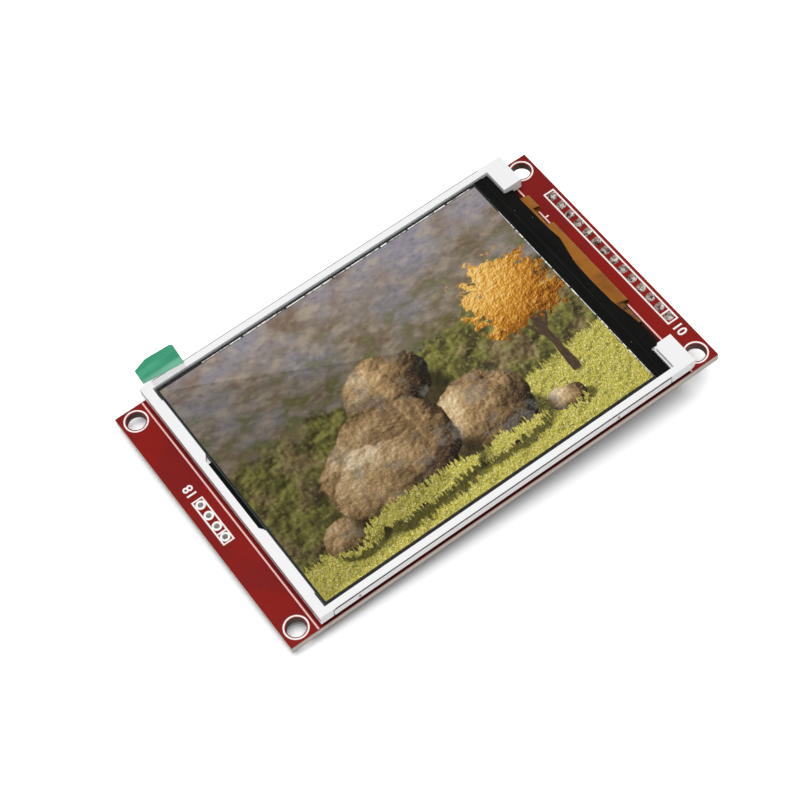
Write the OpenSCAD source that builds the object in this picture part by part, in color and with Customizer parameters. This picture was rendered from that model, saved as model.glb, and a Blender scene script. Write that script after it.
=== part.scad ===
// Colour TFT display module: a liquid-crystal panel taped to a red circuit board with a pin header,
// a memory-card socket on the underside and four mounting holes.
// Millimetres. Origin: centre of the four mounting holes, on the underside of the board.
// +X runs to the 14-pin header end, +Y to the top of the picture, +Z out of the screen.

/* [Circuit board] */
// Length of the circuit board
board_l = 89.3; // [88.4:0.1:92]
// Width of the circuit board
board_w = 55.04; // [54.2:0.02:58]
// Thickness of the circuit board with its lacquer
board_t = 1.6; // [1.2:0.1:2]
// Distance from the short edge to the mounting-hole centre
hole_inset_x = 2.76; // [2.6:0.02:2.9]
// Distance from the long edge to the mounting-hole centre
hole_inset_y = 2.65; // [2.5:0.02:2.9]
// Diameter of the mounting holes
mount_hole_d = 3.5; // [3.0:0.1:3.7]
// Outer diameter of the white ring round each mounting hole
ring_d = 4.5; // [4.2:0.1:4.8]
// Width of the printed white lines
print_line = 0.3; // [0.2:0.05:0.35]

/* [Pin header] */
// Number of pins in the long header row
header_pins_n = 14; // [10:1:14]
// Distance from the short edge of the board to the header row
header_inset = 1.75; // [1.6:0.05:1.9]
// Length of the pins below the plastic strip
pin_drop = 6; // [5:0.5:9]
// Number of holes in the short row at the other end
row_holes_n = 4; // [3:1:4]

/* [Display panel] */
// Bare strip of board beside the panel, at the end with the short row
left_strip = 6.17; // [5.6:0.01:6.8]
// Bare strip of board beside the panel, at the end with the pin header
right_strip = 5.13; // [4.7:0.01:5.6]
// How far the panel stands over the near long edge of the board
near_overhang = 0.04; // [0:0.02:0.4]
// How far the panel stands over the far long edge of the board
far_overhang = 0.48; // [0.2:0.02:0.8]
// Thickness of the display panel
panel_t = 2.2; // [2.1:0.05:2.6]
// Thickness of the foam tape under the panel
foam_t = 1.2; // [1:0.1:1.5]
// Depth of the screen below the top of the frame
screen_recess = 0.46; // [0.3:0.02:0.55]
// Black margin between the frame and the picture on the left
left_margin = 0.55; // [0.4:0.05:1.5]
// Black margin between the frame and the picture on the near side
near_margin = 0.85; // [0.5:0.05:1.5]
// Black margin between the frame and the picture on the far side
far_margin = 0.95; // [0.5:0.05:1.5]
// How far the folded flex stays behind the end of the frame
flex_setback = 0.3; // [0.1:0.1:0.5]
// Width of the folded panel flex
flex_w = 21.2; // [16:0.4:22]

/* [Pull tab] */
// Width of the green pull tab
tab_w = 8; // [6:0.5:10]
// How far the pull tab stands out beyond the frame
tab_reach = 4.8; // [3:0.2:7]

/* [Memory-card socket] */
// Width of the socket over its steel shell
socket_w = 28; // [27.6:0.1:29]
// Depth of the socket from mouth to back
socket_d = 26.5; // [25:0.5:28]
// Height of the socket below the board
socket_h = 2.85; // [2.8:0.05:3.2]

/* [Hidden] */

$fa = 6;
$fs = 0.15;
eps = 0.01;

// --- board
half_l = board_l / 2;
half_w = board_w / 2;
hole_x = half_l - hole_inset_x;
hole_y = half_w - hole_inset_y;
lacquer_t = 0.04;
print_t = 0.04;
pitch = 2.54;
plated_hole_d = 1.0;
pad_d = 1.8;
pad_t = 0.05;
header_x = half_l - header_inset;
header_y = 0.25;
row_x = -half_l + 2.68;
row_y = 0.17;
header_span = (header_pins_n - 1) * pitch;
row_span = (row_holes_n - 1) * pitch;
box_half = 1.15;
box_end = 1.3;
divider_y = 1.07;
line_margin = 0.1;
line_tick = 0.85;
line_tick_y = 13.8;

// --- header
strip_w = 2.5;
strip_h = 2.5;
pin_side = 0.64;
pin_top = board_t + 1.25;
pin_bottom = -strip_h - pin_drop;
pin_tip = 0.5;
joint_r = 0.88;
joint_h = 0.85;

// --- display panel: box of the white frame
px0 = -half_l + left_strip;
px1 = half_l - right_strip;
py0 = -half_w - near_overhang;
py1 = half_w + far_overhang;
panel_w = py1 - py0;
panel_cy = (py0 + py1) / 2;
line_left_x = px0 - 0.62;
line_right_x = px1 - 0.57;
pz0 = board_t + foam_t;
pz1 = pz0 + panel_t;
// window in the frame
side_bar = 1.45;
near_bar = 1.31;
end_bar = 2.03;
wx0 = px0 + end_bar;
wx1 = px1 - 4.17;
wy0 = py0 + near_bar;
wy1 = py1 - side_bar;
nick_depth = 0.2;
nick_len = 3.1;
recess_depth = 0.72;
recess_far = 9.9;
recess_near = -8.75;
recess_slope = 1.2;
// ears at the flex end
near_ear_x = px1 - 3.58;
near_ear_y = py0 + 6.71;
far_ear_x = px1 - 3.85;
far_ear_y = py1 - 6.6;
ear_round = 1.1;
ear_cut = 0.5;
ear_step = 0.8;
rib_x = wx1 + 0.15;
rib_y = near_ear_y - 0.55;
rib_t = 0.2;
rib_drop = 0.35;
groove_drop = 1.6;
tie_bar_out = 1.6;
// steel tray
steel_t = 0.15;
tray_gap = 0.17;
tray_x0 = px0 + 2.73;
tray_x1 = px1 - 5.2;
tray_drop = 0.42;
tray_slit = 0.27;
tray_top = pz1 - tray_drop;
tray_round = 0.8;
tray_end_y0 = py0 + 2.56;
tray_end_y1 = py1 - 2.7;
tray_end_h = 1.3;
tray_tongue_x = wx1 - 0.15;
slot_w = 0.4;
slot_h = 0.7;
notch_ys = [py0 + 21.16, py1 - 7.4];
notch_w = 1.1;
notch_h = 0.3;

// --- sheets between tray and screen, from below
sheet_gap = 0.15;
sx0 = wx0 + sheet_gap;
sy0 = wy0 + sheet_gap;
sy1 = wy1 - sheet_gap;
reflector_t = 0.08;
diffuser_t = 0.06;
prism_t = 0.06;
rim_t = 0.05;
rear_pol_t = 0.11;
glass_t = 0.3;
front_pol_t = 0.12;
ink_t = 0.02;
film_t = 0.05;
z_screen = pz1 - screen_recess;
z_front_glass = z_screen - front_pol_t - glass_t;
z_rear_glass = z_front_glass - glass_t;
z_rear_pol = z_rear_glass - rear_pol_t;
z_rim = z_rear_pol - rim_t;
z_upper_prism = z_rim - prism_t;
z_lower_prism = z_upper_prism - prism_t;
z_diffuser = z_lower_prism - diffuser_t;
z_reflector = pz0 + steel_t;
z_guide = z_reflector + reflector_t;
guide_x1 = wx1 - 1.5;
lamp_x0 = guide_x1 + 0.1;
lamp_x1 = lamp_x0 + 0.8;
lamp_w = 3;
lamps_n = 8;
lamp_flex_t = 0.08;
sheet_x1 = wx1 - 2.45;
glass_x1 = wx1 - 0.15;
front_glass_x1 = wx1 - 2.9;

// --- lit picture
end_margin = 0.35;
qx0 = wx0 + left_margin;
qx1 = front_glass_x1 - end_margin;
qy0 = wy0 + near_margin;
qy1 = wy1 - far_margin;
picture_w = qx1 - qx0;
picture_h = qy1 - qy0;

// --- driver chip and flex
chip_x0 = front_glass_x1 + 0.5;
chip_x1 = chip_x0 + 1.1;
chip_t = 0.25;
chip_w = 18;
z_chip_top = z_front_glass + chip_t;
flex_t = 0.1;
flex_y0 = -9.9;
flex_x0 = chip_x1 + 0.35;
bend_x = wx1 + 0.1;
slope = 13.5;
z_flex = z_front_glass + flex_t / 2;
z_flex_low = board_t + flex_t / 2;
flex_reach = px1 - flex_setback - flex_t / 2;
joint_row_back = 13.02;
joint_row_x = px1 - joint_row_back;
joint_row_len = 2.2;
flex_joints_n = 24;
flex_joint_pitch = 0.8;
tape_t = 0.05;
tape_x0 = front_glass_x1 + 0.05;
roll_steps = 20;
flex_tab_y = 15.7;
tongue_setback = 1.75;
foam_w = 3;
foam_inset = 0.45;
foam_gap = 0.2;
foam_x0 = px0 + 2.8;
foam_x1 = joint_row_x - 2.48;
lamp_pitch = 4.8;

// --- film and tab
z_film = z_screen + ink_t;
z_tab = pz1 + film_t;
tab_t = 0.12;
tab_x1 = px0 + 9.05;

// --- socket
socket_from_end = 8.65;
socket_x = -half_l + socket_from_end + socket_w / 2;
shell_t = 0.2;
base_w = socket_w - 2 * shell_t;
card_w = 24.4;
base_floor = 0.4;
base_setback = 0.8;
back_wall = 3.2;
thumb_r = 7.5;
thumb_out = 3;
window_w = 3;
window_y = 6;
window_len = 6;
window_x = 6.5;
latch_y = 8;
latch_len = 4;
latch_h = 0.6;
contacts_n = 9;
contact_pitch = 2.5;
contact_t = 0.15;
contact_w = 0.8;
contact_len = 9.2;
contact_gap = 0.3;
contact_foot = 0.9;

// --- small parts on the underside, placed from the header row
part_h = 0.45;
capacitor_h = 0.8;
part_w = 0.8;
part_l = 1.6;
capacitor_cap = 0.35;
resistor_cap = 0.3;
regulator_l = 2.9;
regulator_w = 1.3;
regulator_h = 1.1;
regulator_gap = 0.06;
regulator_back = 8.9;
regulator_ys = [-14, 12];
lead_w = 0.4;
lead_t = 0.14;
lead_up = 0.55;
lead_out = 0.6;
lead_spread = 0.95;
part_pitch = 2.2;
socket_clear = 6;
chip_pitch = 0.65;
chip_pad_w = 0.4;
chip_pad_l = 1.3;
chip_pad_t = 0.03;
chip_row = 5.8;

module box(x0, x1, y0, y1, z0, z1)
    translate([x0, y0, z0]) cube([x1 - x0, y1 - y0, z1 - z0]);

module at_mount_holes()
    for (x = [-hole_x, hole_x], y = [-hole_y, hole_y]) translate([x, y, 0]) children();

module at_header()
    for (i = [0 : header_pins_n - 1])
        translate([header_x, header_y - header_span / 2 + i * pitch, 0]) children();

module at_row_holes()
    for (i = [0 : row_holes_n - 1])
        translate([row_x, row_y - row_span / 2 + i * pitch, 0]) children();

module board_layer(z0, z1)
    difference() {
        box(-half_l, half_l, -half_w, half_w, z0, z1);
        at_mount_holes() translate([0, 0, z0 - eps]) cylinder(d = mount_hole_d, h = z1 - z0 + 2 * eps);
        at_header() translate([0, 0, z0 - eps]) cylinder(d = plated_hole_d, h = z1 - z0 + 2 * eps);
        at_row_holes() translate([0, 0, z0 - eps])
            cylinder(d = plated_hole_d + 2 * pad_t, h = z1 - z0 + 2 * eps);
    }

module circuit_board() color([0.76, 0.68, 0.5]) board_layer(lacquer_t, board_t - lacquer_t);

module lacquer_top() color([0.55, 0.1, 0.09]) board_layer(board_t - lacquer_t, board_t);

module lacquer_under() color([0.55, 0.1, 0.09]) board_layer(0, lacquer_t);

module printed_box(cx, cy, span)
    difference() {
        box(cx - box_half, cx + box_half, cy - span / 2 - box_end, cy + span / 2 + box_end, 0, print_t);
        box(cx - box_half + print_line, cx + box_half - print_line,
            cy - span / 2 - box_end + print_line, cy - span / 2 + divider_y - print_line / 2, -1, 1);
        box(cx - box_half + print_line, cx + box_half - print_line,
            cy - span / 2 + divider_y + print_line / 2, cy + span / 2 + box_end - print_line, -1, 1);
    }

module printed_ring()
    difference() {
        cylinder(d = ring_d, h = print_t);
        translate([0, 0, -1]) cylinder(d = ring_d - 2 * print_line, h = 2);
    }

module printed_side_line(x)
    difference() {
        box(x - print_line / 2, x + print_line / 2, line_margin - half_w, half_w - line_margin, 0,
            print_t);
        at_mount_holes() translate([0, 0, -1]) cylinder(d = ring_d + 2 * line_margin, h = 2);
    }

// White lines: a ring round each mounting hole, a box round each row, and a line past each panel end.
module white_print() color([0.96, 0.94, 0.92]) translate([0, 0, board_t])
    difference() {
        union() {
            at_mount_holes() printed_ring();
            printed_box(header_x, header_y, header_span);
            printed_box(row_x, row_y, row_span);
            printed_side_line(line_left_x);
            printed_side_line(line_right_x);
            box(line_right_x, line_right_x + line_tick, line_tick_y, line_tick_y + print_line, 0, print_t);
        }
        at_header() translate([0, 0, -1]) cylinder(r = joint_r + eps, h = 2);
        at_row_holes() translate([0, 0, -1]) cylinder(d = pad_d + 2 * eps, h = 2);
    }

// Tinned rivet-like pads of the empty row: a tube through the board with a flange on each side.
module row_hole_pads() color([0.82, 0.82, 0.8])
    at_row_holes() difference() {
        union() {
            translate([0, 0, -pad_t]) cylinder(d = pad_d, h = pad_t);
            translate([0, 0, board_t]) cylinder(d = pad_d, h = pad_t);
            translate([0, 0, -eps]) cylinder(d = plated_hole_d + 2 * pad_t, h = board_t + 2 * eps);
        }
        translate([0, 0, -1]) cylinder(d = plated_hole_d, h = board_t + 2);
    }

// Soldered joints: the solder fills the plated hole round the pin and stands up in a dome.
module header_solder() color([0.6, 0.58, 0.54])
    at_header() difference() {
        rotate_extrude() polygon([
            [0, 0], [plated_hole_d / 2, 0], [plated_hole_d / 2, board_t], [joint_r, board_t],
            [joint_r * 0.96, board_t + joint_h * 0.22], [joint_r * 0.8, board_t + joint_h * 0.52],
            [joint_r * 0.6, board_t + joint_h * 0.8], [joint_r * 0.42, board_t + joint_h],
            [0, board_t + joint_h]]);
        box(-pin_side / 2, pin_side / 2, -pin_side / 2, pin_side / 2, -1, board_t + 2);
    }

module header_strip() color([0.07, 0.07, 0.07])
    difference() {
        at_header() difference() {
            box(-strip_w / 2, strip_w / 2, -pitch / 2, pitch / 2, -strip_h, 0);
            for (x = [-1, 1], y = [-1, 1]) translate([x * strip_w / 2, y * pitch / 2, -strip_h / 2])
                rotate([0, 0, 45]) cube([0.6, 0.6, strip_h + 1], center = true);
        }
        at_header() box(-pin_side / 2, pin_side / 2, -pin_side / 2, pin_side / 2, -strip_h - 1, 1);
    }

module header_pins() color([0.8, 0.72, 0.45])
    at_header() intersection() {
        box(-pin_side / 2, pin_side / 2, -pin_side / 2, pin_side / 2, pin_bottom, pin_top);
        rotate_extrude() polygon([
            [0, pin_bottom], [pin_side * 0.3, pin_bottom], [pin_side, pin_bottom + pin_tip],
            [pin_side, pin_top - pin_tip], [pin_side * 0.3, pin_top], [0, pin_top]]);
    }

// --- memory-card socket, its mouth flush with the long edge at the top of the picture
module at_socket() translate([socket_x, half_w - socket_d, 0]) children();

// Folded steel cover: a flat plate with two side walls, a thumb notch at the mouth, two windows over
// the card's edges and a notch in each wall.
module socket_shell() color([0.75, 0.76, 0.77]) at_socket()
    difference() {
        union() {
            box(-socket_w / 2, socket_w / 2, 0, socket_d, -socket_h, -socket_h + shell_t);
            for (x = [-socket_w / 2, socket_w / 2 - shell_t])
                box(x, x + shell_t, 0, socket_d, -socket_h, 0);
        }
        translate([0, socket_d + thumb_out, -socket_h - 1]) cylinder(r = thumb_r, h = 2);
        for (x = [-window_x, window_x])
            box(x - window_w / 2, x + window_w / 2, window_y, window_y + window_len,
                -socket_h - 1, -socket_h + 1);
        for (x = [-socket_w / 2, socket_w / 2])
            box(x - 1, x + 1, latch_y, latch_y + latch_len, -latch_h, 1);
    }

// A sprung contact: a tongue in its groove, a bend down the back wall and a soldered foot.
module socket_contact() {
    box(-contact_w / 2, contact_w / 2, -contact_gap, contact_len, -base_floor - contact_t, -base_floor);
    box(-contact_w / 2, contact_w / 2, -contact_gap - contact_t, -contact_gap,
        -base_floor - contact_t, 0);
    box(-contact_w / 2, contact_w / 2, -contact_gap - contact_foot, -contact_gap, -contact_t, 0);
}

module at_contacts() for (i = [0 : contacts_n - 1])
    translate([(i - (contacts_n - 1) / 2) * contact_pitch, 0, 0]) children();

module socket_base() color([0.1, 0.1, 0.1]) at_socket()
    difference() {
        box(-base_w / 2, base_w / 2, 0, socket_d - base_setback, -socket_h + shell_t, 0);
        box(-card_w / 2, card_w / 2, back_wall, socket_d + 1, -socket_h, -base_floor);
        at_contacts()
            box(-contact_w / 2, contact_w / 2, -1, contact_len, -base_floor - contact_t, -base_floor);
    }

module socket_contacts() color([0.85, 0.72, 0.4]) at_socket() at_contacts() socket_contact();

// --- small parts soldered to the underside
// Places there: steps back from the header row, and up or down the board.
module from_header(back, y) translate([header_x - back, y, 0]) children();

// Places there: steps out from the socket's side towards the header.
module from_socket(out, y) translate([socket_x + socket_w / 2 + out, y, 0]) children();

module at_regulators() for (y = regulator_ys) from_header(regulator_back, y) children();

module regulator_bodies() color([0.09, 0.09, 0.1])
    at_regulators() box(-regulator_l / 2, regulator_l / 2, -regulator_w / 2, regulator_w / 2,
        -regulator_h, -regulator_gap);

// A bent lead: a stub against the body's side and a foot flat on the board.
module regulator_lead() translate([-lead_w / 2, regulator_w / 2, 0]) {
    translate([0, 0, -lead_up]) cube([lead_w, lead_t, lead_up]);
    translate([0, 0, -lead_t]) cube([lead_w, lead_out, lead_t]);
}

module regulator_leads() color([0.78, 0.78, 0.76])
    at_regulators() {
        for (x = [-lead_spread, lead_spread]) translate([x, 0, 0]) rotate([0, 0, 180]) regulator_lead();
        regulator_lead();
    }

module at_capacitors() {
    for (y = regulator_ys) from_header(regulator_back + 4, y) children();
    for (p = [[4.6, -12], [15.9, -19], [36.9, -6]]) from_header(p[0], p[1]) children();
    for (p = [[14, 12], [socket_clear, 6]]) from_socket(p[0], p[1]) children();
}

module at_resistors() {
    for (i = [0 : 3]) from_header(regulator_back + 0.5, -6 + i * part_pitch) children();
    for (i = [0 : 3]) from_socket(socket_clear - i * part_pitch, -8) rotate([0, 0, 90]) children();
}

module chip_body(cap, h)
    box(-part_l / 2 + cap, part_l / 2 - cap, -part_w / 2, part_w / 2, -h, 0);

module chip_ends(cap, h)
    for (x = [-part_l / 2, part_l / 2 - cap]) box(x, x + cap, -part_w / 2, part_w / 2, -h, 0);

module capacitor_bodies() color([0.66, 0.52, 0.36])
    at_capacitors() chip_body(capacitor_cap, capacitor_h);

module capacitor_ends() color([0.82, 0.82, 0.8])
    at_capacitors() chip_ends(capacitor_cap, capacitor_h);

module resistor_bodies() color([0.08, 0.08, 0.09])
    at_resistors() chip_body(resistor_cap, part_h);

module resistor_ends() color([0.82, 0.82, 0.8])
    at_resistors() chip_ends(resistor_cap, part_h);

// Tinned pads where the version without a touch layer has no chip.
module bare_chip_pads() color([0.82, 0.82, 0.8])
    for (y = [-chip_row / 2, chip_row / 2], i = [0 : 7])
        from_header(24.9 - (i - 3.5) * chip_pitch, y - 2)
            box(-chip_pad_w / 2, chip_pad_w / 2, -chip_pad_l / 2, chip_pad_l / 2, -chip_pad_t, 0);

// --- display panel
module foam_tape() color([0.06, 0.06, 0.06]) {
    for (y = [py0 + foam_inset, py1 - foam_inset - foam_w])
        box(foam_x0, foam_x1, y, y + foam_w, board_t, pz0);
    for (x = [foam_x0, foam_x1 - foam_w])
        box(x, x + foam_w, py0 + foam_inset + foam_w + foam_gap, py1 - foam_inset - foam_w - foam_gap,
            board_t, pz0);
}

module tray_wall(grow = 0)
    translate([tray_x0 - grow, 0, pz0]) rotate([90, 0, 0]) linear_extrude(steel_t) {
        translate([tray_round, 0]) square([tray_x1 - tray_x0 + 2 * grow - tray_round, tray_top - pz0]);
        square([tray_round + eps, tray_top - pz0 - tray_round]);
        translate([tray_round, tray_top - pz0 - tray_round]) circle(tray_round);
    }

// Thin steel tray: a flat base, two long side walls with a rounded corner, and a low end wall.
module steel_tray() color([0.8, 0.81, 0.82])
    difference() {
        union() {
            box(tray_x0, tray_x1, py0, py1, pz0, pz0 + steel_t);
            box(px0, tray_x0 + eps, tray_end_y0, tray_end_y1, pz0, pz0 + steel_t);
            box(tray_x1 - eps, tray_tongue_x, near_ear_y + 0.3, far_ear_y - 0.3, pz0, pz0 + steel_t);
            translate([0, py0 + steel_t, 0]) tray_wall();
            translate([0, py1, 0]) tray_wall();
            box(px0, px0 + steel_t, tray_end_y0, tray_end_y1, pz0, pz0 + tray_end_h);
        }
        for (x = [tray_x0 + 4.9, tray_x1 - 11.5]) box(x, x + slot_w, py0 - 1, py1 + 1, pz0 + 0.25,
            pz0 + 0.25 + slot_h);
        for (y = notch_ys)
            box(px0 - 1, px0 + steel_t + eps, y, y + notch_w, pz0 + tray_end_h - notch_h, pz1);
    }

module frame_bars() {
    box(px0, px1, py0, wy0, pz0, pz1);
    box(px0, px1, wy1, py1, pz0, pz1);
    box(px0, wx0, py0, py1, pz0, pz1);
    box(near_ear_x, px1, py0, near_ear_y, pz0, pz1);
    box(far_ear_x, px1 - 0.08, far_ear_y, py1, pz0, pz1);
    box(wx1, wx1 + tie_bar_out, near_ear_y - eps, far_ear_y + eps, pz0, z_diffuser);
    box(rib_x, near_ear_x + eps, wy0 - eps, rib_y, pz0, pz1 - groove_drop);
    box(rib_x, rib_x + rib_t, wy0 - eps, rib_y, pz0, pz1 - rib_drop);
}

// White plastic frame: closed on three sides, open between two corner ears for the flex.
module lcd_frame() color([0.95, 0.95, 0.94])
    difference() {
        frame_bars();
        // seats of the tray's base, side walls and end wall
        box(tray_x0 - tray_gap, tray_x1 + tray_gap, py0 - 1, py1 + 1, pz0 - 1, pz0 + steel_t);
        box(px0 - 1, tray_x0, tray_end_y0 - tray_gap, tray_end_y1 + tray_gap, pz0 - 1, pz0 + steel_t);
        for (y = [[py0 - 1, py0 + steel_t + tray_gap], [py1 - steel_t - tray_gap, py1 + 1]])
            intersection() {
                box(tray_x0 - tray_gap, tray_x1 + tray_gap, y[0], y[1], pz0, pz1 + 1);
                translate([tray_x0 - tray_gap, py1 + 2, pz0 - 1]) rotate([90, 0, 0])
                    linear_extrude(panel_w + 4) seat_outline();
            }
        box(px0 - 1, px0 + steel_t + tray_gap, tray_end_y0 - tray_gap, tray_end_y1 + tray_gap,
            pz0 - 1, pz0 + tray_end_h + tray_gap);
        // shallow bay in the closed end, and a nick in each of its corners
        translate([0, 0, z_rim]) linear_extrude(panel_t) polygon([
            [wx0 + eps, recess_near], [wx0 - recess_depth, recess_near + recess_slope],
            [wx0 - recess_depth, recess_far - recess_slope], [wx0 + eps, recess_far]]);
        for (y = [wy0, wy1 - nick_len]) box(wx0 - nick_depth, wx0 + eps, y, y + nick_len, z_rim, pz1 + 1);
        // rounded foot and cut corner of the near ear
        translate([px1 - ear_round, py0 - 1, pz0]) difference() {
            translate([0, 0, -1]) cube([ear_round + 1, 2.8, ear_round + 1]);
            translate([0, -1, ear_round]) rotate([-90, 0, 0]) cylinder(r = ear_round, h = 6);
        }
        translate([near_ear_x, near_ear_y, pz1 - ear_step]) rotate([0, 0, 45])
            translate([-ear_cut, -ear_cut, 0]) cube([2 * ear_cut, 2 * ear_cut, 2]);
    }

module seat_outline() {
    r = tray_round + tray_gap;
    h = tray_top - pz0 + 1 + tray_slit;
    translate([r, 0]) square([tray_x1 - tray_x0 + 2 * tray_gap - r, h]);
    square([r + eps, h - r]);
    translate([r, h - r]) circle(r);
}

module sheet(x1, z, t) box(sx0, x1, sy0, sy1, z, z + t);

module reflector_sheet() color([0.97, 0.97, 0.97]) sheet(guide_x1 + 0.05, z_reflector, reflector_t);

module light_guide() color([0.85, 0.92, 0.95]) sheet(guide_x1, z_guide, z_diffuser - z_guide);

module at_lamps() for (i = [0 : lamps_n - 1])
    translate([0, panel_cy + (i - (lamps_n - 1) / 2) * lamp_pitch, 0]) children();

module lamps() color([0.95, 0.9, 0.6])
    at_lamps() box(lamp_x0, lamp_x1, -lamp_w / 2, lamp_w / 2, z_guide, z_diffuser);

module lamp_flex() color([0.75, 0.48, 0.12])
    box(sheet_x1 + 0.1, wx1 + 1.2, near_ear_y + 1.6, far_ear_y - 1.6, z_diffuser, z_diffuser + lamp_flex_t);

module diffuser_sheet() color([0.95, 0.95, 0.95]) sheet(sheet_x1, z_diffuser, diffuser_t);

module lower_prism_sheet() color([0.88, 0.9, 0.92]) sheet(sheet_x1, z_lower_prism, prism_t);

module upper_prism_sheet() color([0.88, 0.9, 0.92]) sheet(sheet_x1, z_upper_prism, prism_t);

module rim_tape() color([0.04, 0.04, 0.05])
    difference() {
        union() {
            sheet(glass_x1, z_rim, rim_t);
            box(wx0 - recess_depth + 0.1, sx0 + eps, recess_near + recess_slope + 0.1,
                recess_far - recess_slope - 0.1, z_rim, z_rim + rim_t);
        }
        box(sx0 + 0.7, sheet_x1 - 0.6, sy0 + 0.7, sy1 - 0.7, z_rim - 1, z_rim + 1);
    }

module rear_polarizer() color([0.12, 0.13, 0.15])
    box(sx0 + 0.2, sheet_x1, sy0 + 0.2, sy1 - 0.2, z_rear_pol, z_rear_glass);

module rear_glass() color([0.55, 0.6, 0.6]) sheet(glass_x1, z_rear_glass, glass_t);

module front_glass() color([0.55, 0.6, 0.6]) sheet(front_glass_x1, z_front_glass, glass_t);

module front_polarizer() color([0.05, 0.06, 0.07])
    box(sx0 + 0.1, front_glass_x1 - 0.1, sy0 + 0.1, sy1 - 0.1, z_front_glass + glass_t, z_screen);

// --- lit picture, as plain fields of colour on the screen: hills over a grass slope, with boulders
// and an autumn tree. q() takes shares of the picture's width and height.
function q(u, v) = [qx0 + u * picture_w, qy0 + v * picture_h];

module picture_area() translate([qx0, qy0]) square([picture_w, picture_h]);

module ink() translate([0, 0, z_screen]) linear_extrude(ink_t) children();

// A round patch, size shares of the picture's height wide and that times squash high.
module patch(u, v, size, squash = 1)
    translate(q(u, v)) polygon([for (a = [0 : 12 : 348])
        picture_h * size / 2 * [cos(a), squash * sin(a)]]);

module grass_2d() polygon([q(0, 0), q(1, 0), q(1, 0.3), q(0.86, 0.27), q(0.68, 0.25), q(0.45, 0.2),
    q(0.22, 0.17), q(0, 0.12)]);

module below_hills_2d() polygon([q(0, 0), q(1, 0), q(1, 0.6), q(0.84, 0.66), q(0.66, 0.58),
    q(0.45, 0.64), q(0.27, 0.56), q(0.12, 0.6), q(0, 0.55)]);

boulders = [[0.35, 0.29, 0.5, 0.82], [0.61, 0.24, 0.36, 0.86], [0.46, 0.53, 0.32, 0.8],
    [0.15, 0.15, 0.2, 0.75], [0.8, 0.12, 0.13, 0.75]];

module rocks_2d() for (b = boulders) patch(b[0], b[1], b[2], b[3]);

// The unlit side of each boulder: what a copy moved up and to the left leaves of it.
module rock_shade_2d() for (b = boulders)
    difference() {
        patch(b[0], b[1], b[2], b[3]);
        patch(b[0] - 0.1 * b[2], b[1] + 0.2 * b[2], b[2], b[3]);
        for (c = boulders) if (c[1] < b[1]) patch(c[0], c[1], c[2], c[3]);
    }

module trunk_2d() polygon([q(0.86, 0.2), q(0.885, 0.2), q(0.89, 0.45), q(0.872, 0.45)]);

module leaves_2d() {
    patch(0.87, 0.58, 0.34, 0.95);
    patch(0.93, 0.5, 0.2, 0.8);
    patch(0.82, 0.48, 0.18, 0.8);
}

module picture_hills() color([0.55, 0.52, 0.56])
    ink() difference() { picture_area(); below_hills_2d(); rocks_2d(); leaves_2d(); }

module picture_scrub() color([0.4, 0.39, 0.24])
    ink() difference() { below_hills_2d(); grass_2d(); rocks_2d(); leaves_2d(); trunk_2d(); }

module picture_grass() color([0.66, 0.64, 0.28])
    ink() difference() { grass_2d(); rocks_2d(); trunk_2d(); }

module picture_rocks() color([0.6, 0.48, 0.33])
    ink() difference() { rocks_2d(); rock_shade_2d(); }

module picture_shade() color([0.25, 0.19, 0.12])
    ink() {
        rock_shade_2d();
        difference() { trunk_2d(); leaves_2d(); rocks_2d(); }
    }

module picture_leaves() color([0.85, 0.6, 0.2])
    ink() intersection() { leaves_2d(); picture_area(); }

// --- driver chip, flex and tapes at the open end
module driver_chip() color([0.2, 0.21, 0.24])
    box(chip_x0, chip_x1, panel_cy - chip_w / 2, panel_cy + chip_w / 2, z_front_glass, z_chip_top);

// The flex runs flat on the glass, dips at a slope, rolls round a half circle and comes back on
// the board. One side of its outline is h above the middle line, the other h below.
function roll_k() = (1 - sin(slope)) / (1 + cos(slope));
function roll_run(reach) = (reach - bend_x - roll_k() * (z_flex - z_flex_low))
    / (cos(slope) - roll_k() * sin(slope));
function roll_r(reach) = (z_flex - roll_run(reach) * sin(slope) - z_flex_low) / (1 + cos(slope));
function roll_cx(reach) = bend_x + roll_run(reach) * cos(slope) - roll_r(reach) * sin(slope);
function roll_cz(reach) = z_flex_low + roll_r(reach);
function flex_side(reach, x_end, h) = concat(
    [[flex_x0, z_flex + h], [bend_x + h * tan(slope / 2), z_flex + h]],
    [for (i = [0 : roll_steps]) let (a = 90 - slope - i * (180 - slope) / roll_steps)
        [roll_cx(reach) + (roll_r(reach) + h) * cos(a), roll_cz(reach) + (roll_r(reach) + h) * sin(a)]],
    [[x_end, z_flex_low - h]]);
function turned(list) = [for (i = [len(list) - 1 : -1 : 0]) list[i]];

module flex_band(reach, x_end, y0, y1)
    translate([0, y1, 0]) rotate([90, 0, 0]) linear_extrude(y1 - y0)
        polygon(concat(flex_side(reach, x_end, flex_t / 2), turned(flex_side(reach, x_end, -flex_t / 2))));

// Between the folded bands the flex stops just past the tape's edge.
module flex_tongue(x_end, y0, y1)
    translate([0, y1, 0]) rotate([90, 0, 0]) linear_extrude(y1 - y0) polygon([
        [flex_x0, z_flex - flex_t / 2], [bend_x, z_flex - flex_t / 2], [x_end, slope_z(x_end) - flex_t],
        [x_end, slope_z(x_end)], [bend_x, z_flex + flex_t / 2], [flex_x0, z_flex + flex_t / 2]]);

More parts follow.
